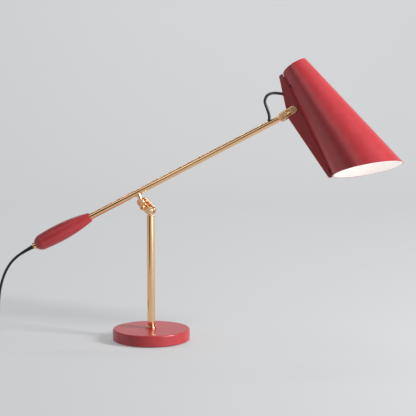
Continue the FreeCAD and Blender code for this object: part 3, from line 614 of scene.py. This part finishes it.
def make_screw(name, place):
    """The cap screw: domed rim, hexagon socket, shank."""
    face = PLATE["gap"] / 2.0 + PLATE["thick"]
    top, deep = face + SCREW["height"], SCREW["depth"]
    socket, edge = SCREW["socket"], 0.0003
    rim = eased([(SCREW["shank"], face, 0), (SCREW["head"], face, 0.0003),
                 (SCREW["head"], top, SCREW["edge"]), (socket + 2.0 * edge, top, 0)], 7)
    shank_end = -face - NUT["height"] + 0.001
    shank = [(0.0, shank_end), (SCREW["shank"] - 0.0005, shank_end), (SCREW["shank"], shank_end + 0.0005)]
    hollow = [(socket, top - edge), (socket, top - deep), (0.0, top - deep - 0.0006)]
    outline = shank + rim + hollow
    flats = {len(outline) - 4, len(outline) - 3, len(outline) - 2}
    screw = piece(name, turned(name, outline, place, 72, flats), clamp_brass, 40.0)
    settle(screw, 40.0)
    return screw


def make_nut(name, place):
    """The round nut, its bore a little countersunk at the back."""
    low, bore, sink = -PLATE["gap"] / 2.0 - PLATE["thick"], SCREW["shank"] + HOLE_FIT, 0.0003
    back = low - NUT["height"]
    outline = eased([(bore, low, 0), (NUT["radius"], low, 0.0002), (NUT["radius"], back, 0.0009),
                     (bore + sink, back, 0), (bore, back + sink, 0)])
    return piece(name, turned(name, outline + outline[:1], place, 64), clamp_brass, 40.0)


def make_clamp(prefix, place, spacing, pin=None):
    """A whole clamp, riding on the body of the same name."""
    half = spacing / 2.0
    seats = [-half] if pin else [-half, half]
    parts = [
        (prefix + "_front", make_plate(prefix + "_plate_front", place, spacing, 1, seats, pin)),
        (prefix + "_rear", make_plate(prefix + "_plate_rear", place, spacing, -1, seats, pin)),
        (prefix + "_screw", make_screw(prefix + "_cap_screw", place)),
        (prefix + "_nut", make_nut(prefix + "_round_nut", place)),
    ]
    for node, part in parts:
        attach(part, prefix)
        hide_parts(node)


clamp_brass = make_brass("milled_brass", 0.17)
stem_ball = Vector(record_joints["lower_clamp_tilt"]["pos_m"])
arm_ball = Vector(record_joints["arm_tilt"]["pos_m"])
lower_normal = Vector(record_joints["lower_clamp_tilt"]["axis"])
lower_place = axes_at((stem_ball + arm_ball) / 2.0, arm_ball - stem_ball, lower_normal)
make_clamp("lower_clamp", lower_place, (arm_ball - stem_ball).length)

# ------------------------------------------------------------------ arm and counterweight
# The arm is a brass tube with a stub and ball soldered on below it, a plug and ball in its
# upper end, and a turned steel counterweight, painted red, pressed over its lower end.

finish(brass, "arm_tube", "arm_stub", "arm_end_plug", "arm_end_ball", "cord_collar")
finish(red_paint, "counterweight")
finish(cable, "arm_lead")

# ------------------------------------------------------------------ head clamp
# The same pair of plates, with a hollow brass pin at one end that the shade's fin hangs on.

end_ball = Vector(record_joints["head_clamp_tilt"]["pos_m"])
pivot = Vector(record_joints["shade_tilt"]["pos_m"])
shade_side = -Vector(record_joints["shade_tilt"]["axis"])
head_place = axes_at((end_ball + pivot) / 2.0, pivot - end_ball, shade_side)
PIN_RADIUS = 0.003
spacing = (pivot - end_ball).length
make_clamp("head_clamp", head_place, spacing, (spacing / 2.0, PIN_RADIUS + HOLE_FIT))
finish(brass, "shade_pivot_pin")
finish(plated_steel, "pivot_spacer")

# ------------------------------------------------------------------ shade
# A cone of spun and seamed sheet aluminium: red powder coat outside, white enamel inside, the
# enamel given a faint painted glow that stands in for the lamp's light.  Its long seam is at the
# back, where the sheet's two edges are turned out as lips under the fin.

CONE = {"top": 0.0277, "mouth": 0.0656, "length": 0.265, "wall": 0.0012, "corner": 0.004, "cut": 23.1}
LIP = {"start": 0.008, "end": 0.234, "out": 0.007, "inner": 0.0017, "outer": 0.0027}
PIVOT = (0.052384, 0.0, -0.0775)
BUTTON = {"drop": 0.036, "width": 0.003, "length": 0.007, "corner": 0.0007, "proud": 0.0016, "inside": 0.005}
CONE_COLUMNS = 180
MOUTH_EDGE = 0.00035
MOUTH_CURVE = ((0.15, 0.00022), (0.5, MOUTH_EDGE), (0.85, 0.00022))
SEAM_STUB = 0.0002

press = Vector(record_joints["switch_press"]["axis"])
button_lean = -press.dot(shade_side)
shade_back = -(press + shade_side * button_lean).normalized()
shade_place = Matrix((shade_back, shade_side, shade_back.cross(shade_side))).transposed().to_4x4()
shade_place.translation = pivot - shade_place.to_3x3() @ Vector(PIVOT)
cone_slope = (CONE["mouth"] - CONE["top"]) / CONE["length"]


def cone_radius(drop):
    """The cone's outer radius at this distance below its top."""
    return CONE["top"] + drop * cone_slope


def mouth_drop(angle):
    """Where the slanted mouth cuts the cone, at this angle round it."""
    lean = math.tan(math.radians(CONE["cut"])) * math.cos(angle)
    return (CONE["length"] - lean * CONE["top"]) / (1.0 + lean * cone_slope)


# White enamel with a painted glow: its warm emission stands in for the lamp's light spread round the inside
# of the shade.
def make_enamel_with_painted_glow():
    material, surface = shader("white_enamel_painted_glow", (0.86, 0.84, 0.81), 0.32)
    surface.inputs["Coat Weight"].default_value = 0.2
    surface.inputs["Emission Color"].default_value = (1.0, 0.90, 0.89, 1.0)
    surface.inputs["Emission Strength"].default_value = 0.26
    vary(material, surface, noise(material, 40.0), "Base Color", (0.84, 0.815, 0.785), (0.88, 0.86, 0.835))
    bump(material, surface, noise(material, 1300.0, 3.0), 0.00003, 0.4)
    return material


def cone_shell():
    """The seamed cone below its crown, as rings that run round the outside, a lip, the inside, a lip."""
    columns = CONE_COLUMNS
    shares = [n / 12.0 for n in range(12)]
    lip_share = (LIP["end"] - LIP["start"]) / (mouth_drop(0.0) - LIP["start"])
    shares += [lip_share, lip_share + 0.001, 1.0]
    mesh = bmesh.new()
    rings = []
    for share in shares:
        drop = LIP["start"] + share * (mouth_drop(0.0) - LIP["start"])
        lip = LIP["out"] if share <= lip_share else SEAM_STUB
        ring = []
        for inset, half, turn in ((0.0, LIP["outer"], 1), (CONE["wall"], LIP["inner"], -1)):
            edge = math.asin(half / (cone_radius(drop) - inset))
            for k in range(columns + 1):
                angle = edge + (2.0 * math.pi - 2.0 * edge) * (k if turn > 0 else columns - k) / columns
                there = LIP["start"] + share * (mouth_drop(angle) - MOUTH_EDGE - LIP["start"])
                reach = cone_radius(there) - inset
                ring.append((reach * math.cos(angle), reach * math.sin(angle), -there))
            for side in ((-LIP["outer"], -LIP["inner"]) if turn > 0 else (LIP["inner"], LIP["outer"])):
                ring.append((cone_radius(drop) + lip, side, -drop + (MOUTH_EDGE if share == 1.0 else 0.0)))
        rings.append([mesh.verts.new(spot) for spot in ring])
    for first, second in zip(rings, rings[1:]):
        for k in range(len(first)):
            face = mesh.faces.new((first[k], first[(k + 1) % len(first)],
                                   second[(k + 1) % len(first)], second[k]))
            face.material_index = 1 if columns + 3 <= k < 2 * columns + 3 else 0
    for ring, rounded in ((rings[0], False), (rings[-1], True)):
        outside = ring[:columns + 1]
        inside = ring[columns + 3:2 * columns + 4][::-1]
        rows = [outside]
        if rounded:
            for depth, rise in MOUTH_CURVE:
                row = []
                for a, b in zip(outside, inside):
                    row.append(mesh.verts.new(a.co.lerp(b.co, depth) - Vector((0.0, 0.0, rise))))
                rows.append(row)
        rows.append(inside)
        for near, far in zip(rows, rows[1:]):
            for k in range(columns):
                mesh.faces.new((near[k], near[k + 1], far[k + 1], far[k]))
        mesh.faces.new([row[-1] for row in rows] + ring[columns + 1:columns + 3][::-1])
        mesh.faces.new([row[0] for row in rows][::-1] + ring[2 * columns + 4:][::-1])
    return mesh


def crown_outline():
    """The closed top: a flat disc turned down over a small corner into the cone."""
    top, wall, corner, start = CONE["top"], CONE["wall"], CONE["corner"], LIP["start"]
    steps = 8
    outline = [(0.0, 0.0)]
    for inset, turn in ((0.0, 1), (wall, -1)):
        arc = []
        for n in range(steps + 1):
            angle = math.pi / 2.0 * n / steps
            middle, reach = top - corner + cone_slope * corner * n / steps, corner - inset
            arc.append((middle + reach * math.sin(angle), -corner + reach * math.cos(angle)))
        arc.append((cone_radius(start) - inset, -start))
        outline += arc[::turn]
    outline.append((0.0, -wall))
    return outline


def make_shade_cone():
    """The cone and its crown in one mesh, red outside and enamelled inside."""
    mesh = cone_shell()
    outline = crown_outline()
    crown = turned("crown", outline, Matrix.Identity(4), CONE_COLUMNS)
    mesh.from_mesh(crown)
    bmesh.ops.recalc_face_normals(mesh, faces=mesh.faces)
    shell = bpy.data.meshes.new("shade_cone_shell")
    mesh.to_mesh(shell)
    mesh.free()
    cone = piece("shade_cone_shell", shell, red_paint, 40.0)
    cone.data.materials.append(make_enamel_with_painted_glow())
    for face in cone.data.polygons[-CONE_COLUMNS * (len(outline) - 1):]:
        spot = face.center
        if spot.xy.length < cone_radius(-spot.z) - CONE["wall"] * 0.6 and spot.z < -CONE["wall"] * 0.5:
            face.material_index = 1
    return cone


def button_cut(gap, inside, outside, name="button_tool", edge=0.0):
    """The button's rounded block, set through the cone's wall."""
    wide, long = BUTTON["width"] / 2.0 + gap, BUTTON["length"] / 2.0 + gap
    corner = BUTTON["corner"] + gap
    corners = [(wide, long), (-wide, long), (-wide, -long), (wide, -long)]
    outline = eased([(x, y, corner) for x, y in corners], 4)
    low, high = cone_radius(BUTTON["drop"]) - inside, cone_radius(BUTTON["drop"]) + outside
    profile = [(0.0, low), (0.0, high)]
    if edge:
        profile = [(0.0, low), (0.0, high - edge), (edge * 0.3, high - edge * 0.3), (edge, high)]
    lean = Matrix.Rotation(math.asin(button_lean), 4, "Z")
    outward = Matrix(((0, 0, 1, 0), (1, 0, 0, 0), (0, 1, 0, -BUTTON["drop"]), (0, 0, 0, 1)))
    return slab(name, outline, profile, lean @ outward)


shade_cone = make_shade_cone()
carve(shade_cone, button_cut(HOLE_FIT, THROUGH, THROUGH))
shade_cone.data.transform(shade_place)
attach(shade_cone, "shade")
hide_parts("shade_cone")

# ------------------------------------------------------------------ fin
# One strip of sheet folded into a hollow fin over the seam's lips and riveted through them.  Its
# knee is notched so that the head clamp's screw can pass when the shade tilts.

FIN = {"thick": 0.008, "wall": 0.0012, "stand_off": 0.0012, "edge": 0.0014,
       "flat": 0.002, "top": 0.001, "foot": 0.238, "knee": 0.0845, "entry": 0.037, "entry_hole": 0.0031}
FIN_WIDTH = {"top": 0.00946, "knee": 0.0305, "foot": 0.0092}
FIN_CORNER = {"top": 0.0042, "knee": 0.022, "foot": 0.0052}
TOP_INSET = 0.68
PAST_FIN = 0.01
NOTCH = {"lobe": 0.0106, "reach": 0.04, "low": -28.0, "high": 46.0}


def fin_outline(inset, front):
    """The fin's side view in X and Z, its front edge moved forward of its real place."""
    top, foot = FIN["top"] + inset, FIN["foot"] - inset
    knee = cone_radius(FIN["knee"]) + FIN_WIDTH["knee"] - inset
    toe = cone_radius(FIN["foot"]) + FIN_WIDTH["foot"] - inset
    head = cone_radius(FIN["top"]) + FIN_WIDTH["top"] - inset * TOP_INSET
    return eased([
        (cone_radius(top) + FIN["stand_off"] - front, -top, 0), (head, -top, FIN_CORNER["top"] - inset),
        (knee, -FIN["knee"], FIN_CORNER["knee"]), (toe, -foot, FIN_CORNER["foot"] - inset),
        (cone_radius(foot) + FIN["stand_off"] - front, -foot, 0)], 8)


def fin_skin(name, profile, front):
    """The fin's outline carried along a profile of (inset, height); the front edge stays where it is."""
    rings = [[(x, z, height) for x, z in fin_outline(inset, front)] for inset, height in profile]
    return skinned(name, rings, across_fin)


def notch_tool():
    """The sector swept by the clamp, outside the lobe round the pivot."""
    angles = [math.radians(NOTCH["low"] + (NOTCH["high"] - NOTCH["low"]) * n / 16) for n in range(17)]
    outline = [(math.cos(a) * NOTCH["lobe"], math.sin(a) * NOTCH["lobe"]) for a in angles]
    outline += [(math.cos(a) * NOTCH["reach"], math.sin(a) * NOTCH["reach"]) for a in angles[::-4]]
    place = Matrix.Translation(PIVOT) @ Matrix.Rotation(math.radians(90.0), 4, "X")
    return slab("notch_tool", outline, [(0.0, -PAST_FIN), (0.0, PAST_FIN)], place)


def round_tool(place, radius, reach):
    """A plain drill that runs this far each way from its place."""
    low, high = -reach, reach
    return turned("round_tool", [(0.0, low), (radius, low), (radius, high), (0.0, high)], place, 48)


def lead_entry():
    """On the fin's upper edge where the head lead goes in, Z pointing out of the edge."""
    head = Vector((cone_radius(FIN["top"]) + FIN_WIDTH["top"], 0.0, -FIN["top"]))
    knee = Vector((cone_radius(FIN["knee"]) + FIN_WIDTH["knee"], 0.0, -FIN["knee"]))
    run = knee - head
    out = Vector((-run.z, 0.0, run.x)).normalized()
    share = (FIN["entry"] - FIN["top"]) / (FIN["knee"] - FIN["top"])
    return axes_at(head + run * share, (0.0, 1.0, 0.0), out)


across_fin = Matrix.Rotation(math.radians(90.0), 4, "X")
half_fin = FIN["thick"] / 2.0
fold = eased([(FIN["flat"], -half_fin, 0), (0, -half_fin, FIN["edge"]), (0, half_fin, FIN["edge"]),
              (FIN["flat"], half_fin, 0)])
hollow = [(FIN["wall"], FIN["wall"] - half_fin), (FIN["wall"], half_fin - FIN["wall"])]
fin = piece("back_fin_fold", fin_skin("back_fin_fold", fold, 0.0), red_paint)
carve(fin, fin_skin("fin_hollow", hollow, PAST_FIN), notch_tool(),
      round_tool(Matrix.Translation(PIVOT) @ across_fin, PIN_RADIUS + HOLE_FIT, PAST_FIN),
      round_tool(lead_entry(), FIN["entry_hole"], THROUGH))
fin.data.transform(shade_place)
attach(fin, "shade")
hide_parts("back_fin")

# ------------------------------------------------------------------ rivets and grommet
# Domed nickel-plated rivets close the fin over the lips at its top and foot.  A rubber grommet
# lines the hole where the head lead goes in.

RIVET = {"shank": 0.0016, "head": 0.0022, "height": 0.0007, "drops": (0.010, 0.224, 0.2295), "out": 0.0046}


def make_rivet_steel():
    material, surface = shader("darkened_steel", (0.20, 0.15, 0.14), 0.32, 1.0)
    vary(material, surface, noise(material, 500.0, 3.0), "Roughness", 0.26, 0.42)
    bump(material, surface, noise(material, 2600.0), 0.00002, 0.3)
    return material


rivet_steel = make_rivet_steel()
rivet_top = half_fin + RIVET["height"]
rivet_dome = eased([(RIVET["head"], half_fin, 0), (RIVET["head"] * 0.97, rivet_top, 0.0006),
                    (0.0, rivet_top, 0)], 5)
rivet_outline = [(reach, -height) for reach, height in rivet_dome[::-1]]
rivet_outline += [(RIVET["shank"], -half_fin), (RIVET["shank"], half_fin)] + rivet_dome
for number, drop in enumerate(RIVET["drops"], start=1):
    spot = Matrix.Translation((cone_radius(drop) + RIVET["out"], 0.0, -drop))
    name = "fin_rivet_%d" % number
    rivet = piece(name, turned(name, rivet_outline, shade_place @ spot @ across_fin, 36), rivet_steel)
    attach(rivet, "shade")
    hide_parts("fin_rivets")


def make_rubber():
    material, surface = shader("black_rubber", (0.012, 0.012, 0.013), 0.62)
    vary(material, surface, noise(material, 500.0), "Roughness", 0.55, 0.7)
    bump(material, surface, noise(material, 2400.0), 0.00004, 0.4)
    return material


finish(make_rubber(), "fin_grommet")
finish(cable, "holder_lead")

# ------------------------------------------------------------------ lampholder, bulb and switch
# A moulded lampholder hangs from a turned hub under the crown and holds an opal lamp.  A small
# push switch sits beside it, its button coming out through the cone.


def make_bakelite():
    material, surface = shader("black_bakelite", (0.016, 0.015, 0.015), 0.34)
    vary(material, surface, noise(material, 120.0, 4.0), "Base Color",
         (0.012, 0.011, 0.011), (0.024, 0.022, 0.021))
    vary(material, surface, noise(material, 700.0), "Roughness", 0.28, 0.42)
    bump(material, surface, noise(material, 1800.0), 0.00002, 0.3)
    return material


def make_opal_glass():
    material, surface = shader("opal_glass", (0.93, 0.91, 0.87), 0.22)
    surface.inputs["Emission Color"].default_value = (1.0, 0.92, 0.87, 1.0)
    surface.inputs["Emission Strength"].default_value = 4.0
    vary(material, surface, noise(material, 55.0, 3.0), "Base Color", (0.90, 0.88, 0.84), (0.95, 0.94, 0.91))
    bump(material, surface, noise(material, 600.0), 0.00001, 0.2)
    return material


bakelite = make_bakelite()
finish(bakelite, "lampholder", "holder_ring", "switch_body")
finish(plated_steel, "holder_hub", "bulb_cap")
finish(make_opal_glass(), "bulb_glass")
button_mesh = button_cut(0.0, BUTTON["inside"], BUTTON["proud"], "switch_button_cap", 0.0005)
button_mesh.transform(shade_place)
switch_button = piece("switch_button_cap", button_mesh, bakelite)
settle(switch_button)
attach(switch_button, "switch")
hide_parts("switch_button")

# ------------------------------------------------------------------ plug and coil tie
# A moulded two-pin plug with a ribbed strain relief is on the lead's end, and a woven tie holds
# the spare length's coil together.

plug_low, plug_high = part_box("plug_body")
plug_back = Vector(((plug_low.x + plug_high.x) / 2.0, plug_high.y, (plug_low.z + plug_high.z) / 2.0))
PLUG_STATIONS = [
    (0.0000, 0.0068, 0.0046), (0.0006, 0.0078, 0.0056), (0.0030, 0.0089, 0.0062), (0.0065, 0.0096, 0.0065),
    (0.0075, 0.0091, 0.0065), (0.0095, 0.0106, 0.0067), (0.0105, 0.0101, 0.0067), (0.0125, 0.0116, 0.0068),
    (0.0135, 0.0111, 0.0068), (0.0165, 0.0125, 0.0069), (0.0225, 0.0129, 0.0070), (0.0290, 0.0124, 0.0070),
    (0.0345, 0.0113, 0.0069), (0.0356, 0.0106, 0.0063), (0.0360, 0.0098, 0.0055),
]


def plug_ring(station, count=48, square=3.2):
    """One section of the plug: a squarish oval.  A station is (how far along, half width, half height)."""
    along, wide, high = station
    ring = []
    for k in range(count):
        a = 2.0 * math.pi * k / count
        x = math.copysign(abs(math.cos(a)) ** (2.0 / square), math.cos(a)) * wide
        z = math.copysign(abs(math.sin(a)) ** (2.0 / square), math.sin(a)) * high
        ring.append((x, -along, z))
    return ring


def make_moulded_plastic():
    material, surface = shader("moulded_plastic", (0.020, 0.020, 0.022), 0.48)
    vary(material, surface, noise(material, 900.0), "Roughness", 0.42, 0.56)
    bump(material, surface, noise(material, 1600.0, 3.0), 0.00006, 0.5)
    return material


PLUG_PIN = {"radius": 0.0019, "root": 0.034, "tip": 0.055, "tip_round": 0.0012, "apart": 0.019}
SLEEVE = {"radius": 0.00199, "end": 0.046, "round": 0.0001}
RIBS = {"count": 7, "start": 0.0215, "pitch": 0.0029, "wide": 0.0018, "flank": 0.0002,
        "proud": 0.0007, "grow": 0.0011, "deep": 0.0006}
STRAIN = {"end": 0.0219, "root": 0.0046, "collar": 0.0008, "gap": 0.00005}
moulded = make_moulded_plastic()
at_plug = Matrix.Translation(plug_back)
forward = Matrix.Rotation(math.radians(90.0), 4, "X")
plug_rings = [plug_ring(station) for station in PLUG_STATIONS]
plug = piece("plug_moulding", skinned("plug_moulding", plug_rings, at_plug), moulded, 60.0)


def rod_outline(radius, end, rounding):
    """A rod that starts inside the plug and has a rounded end."""
    root = PLUG_PIN["root"]
    return eased([(0.0, root, 0), (radius, root, 0), (radius, end, rounding), (0.0, end, 0)])


plug_parts = [plug]
for side, spot in (("left", -PLUG_PIN["apart"] / 2.0), ("right", PLUG_PIN["apart"] / 2.0)):
    place = Matrix.Translation(plug_back + Vector((spot, 0.0, 0.0))) @ forward
    pin_outline = rod_outline(PLUG_PIN["radius"], PLUG_PIN["tip"], PLUG_PIN["tip_round"])
    sleeve_outline = rod_outline(SLEEVE["radius"], SLEEVE["end"], SLEEVE["round"])
    pin_name, sleeve_name = "plug_pin_" + side, "plug_pin_sleeve_" + side
    plug_parts.append(piece(pin_name, turned(pin_name, pin_outline, place, 32), plated_steel))
    plug_parts.append(piece(sleeve_name, turned(sleeve_name, sleeve_outline, place, 32), moulded))

strain_outline = [(0.0, -STRAIN["end"]), (LEAD_RADIUS + STRAIN["gap"], -STRAIN["end"]),
                  (LEAD_RADIUS + RIBS["deep"], -STRAIN["end"])]
for n in range(RIBS["count"]):
    start = -RIBS["start"] + n * RIBS["pitch"]
    crest = LEAD_RADIUS + RIBS["proud"] + RIBS["grow"] * n / RIBS["count"]
    root = crest - RIBS["deep"]
    end = start + RIBS["wide"]
    strain_outline += [(crest, start), (crest, end), (root, end + RIBS["flank"]),
                       (root, start + RIBS["pitch"] - RIBS["flank"])]
strain_outline += [(STRAIN["root"], -STRAIN["collar"]), (STRAIN["root"], 0.0), (0.0, 0.0)]
strain_relief = piece(
    "plug_strain_relief", turned("plug_strain_relief", strain_outline, at_plug @ forward, 40), moulded)
plug_parts.append(strain_relief)
stands_for = {"plug_moulding": "plug_body", "plug_strain_relief": "plug_relief",
              "plug_pin_left": "plug_pins", "plug_pin_right": "plug_pins"}
for part in plug_parts:
    node = stands_for.get(part.name)
    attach(part, "turning_ball")
    if node:
        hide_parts(node)


def make_webbing():
    material, surface = shader("woven_tie", (0.02, 0.02, 0.022), 0.85)
    surface.inputs["Sheen Weight"].default_value = 0.3
    vary(material, surface, noise(material, 2600.0, 2.0, (1.0, 0.2, 0.2)), "Base Color",
         (0.012, 0.012, 0.013), (0.05, 0.05, 0.052))
    bump(material, surface, noise(material, 2600.0, 2.0, (1.0, 0.2, 0.2)), 0.0001, 0.6)
    return material


TIE = {"corner": 0.0036, "lift": 0.0001, "tuck": 0.0022, "thick": 0.0008, "edge": 0.0002}
tie_low, tie_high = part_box("lead_tie")
tie_inner = tie_low.y - TIE["tuck"]


def tie_outline(inset):
    """The band round the coil's turns, seen along the lead."""
    low, high = tie_low.z + inset + TIE["lift"], tie_high.z - inset
    near, far, corner = tie_inner + inset, tie_high.y - inset, TIE["corner"] - inset
    return eased([(far, high, corner), (near, high, corner), (near, low, corner), (far, low, corner)], 6)


half_tie = (tie_high.x - tie_low.x) / 2.0
upright = Matrix(((0, 0, 1, (tie_low.x + tie_high.x) / 2.0), (1, 0, 0, 0), (0, 1, 0, 0), (0, 0, 0, 1)))
tie_profile = eased([(TIE["thick"] / 2.0, -half_tie, 0), (0, -half_tie, TIE["edge"]),
                     (0, half_tie, TIE["edge"]), (TIE["thick"] / 2.0, half_tie, 0)], 3)
tie = piece("coil_tie", slab("coil_tie", tie_outline(0.0), tie_profile, upright), make_webbing())
carve(tie, slab("tie_tool", tie_outline(TIE["thick"]), [(0.0, -THROUGH), (0.0, THROUGH)], upright))
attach(tie, "turning_ball")
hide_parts("lead_tie")
